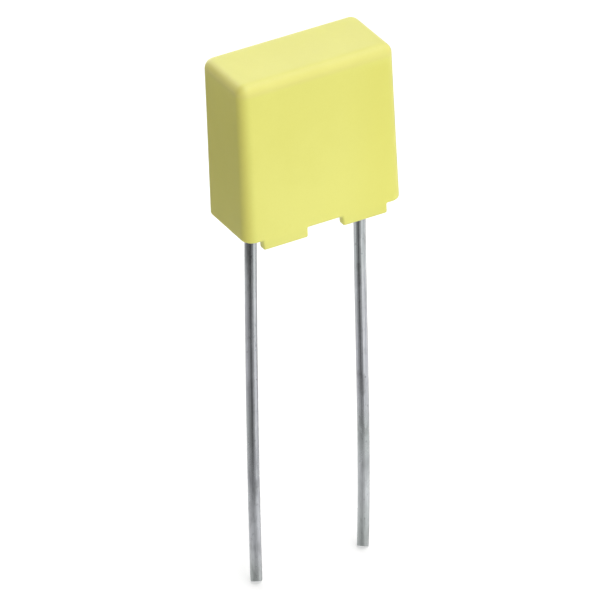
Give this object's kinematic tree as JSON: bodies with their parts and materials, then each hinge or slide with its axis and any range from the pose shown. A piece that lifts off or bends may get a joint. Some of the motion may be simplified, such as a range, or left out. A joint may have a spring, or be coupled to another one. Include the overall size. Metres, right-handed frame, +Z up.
{
  "type": "boxed polyester film capacitor",
  "caption": "Boxed polyester film capacitor: a yellow moulded case on stand-off feet, potted with resin, with two long tinned wire leads for through-hole mounting.",
  "frame": {"origin": "on the seating plane of the feet, midway between the two leads", "axes": "+X along the case towards the right lead, +Y through its thickness, +Z up from the leads to the top of the case"},
  "size_m": [0.0072, 0.0034, 0.0241],
  "materials": {
    "case_plastic": "satin moulded polyester, light yellow",
    "resin": "cast epoxy, dull yellow",
    "film": "wound metallised film, silvery",
    "contact_metal": "sprayed metal, matt and grainy",
    "lead_wire": "tinned copper-clad steel wire, drawn"
  },
  "bodies": {
    "root": {"case": "case_plastic", "potting_resin": "resin", "film_element": "film", "end_contact_left": "contact_metal", "end_contact_right": "contact_metal", "lead_left": "lead_wire", "lead_right": "lead_wire"}
  },
  "joints": []
}
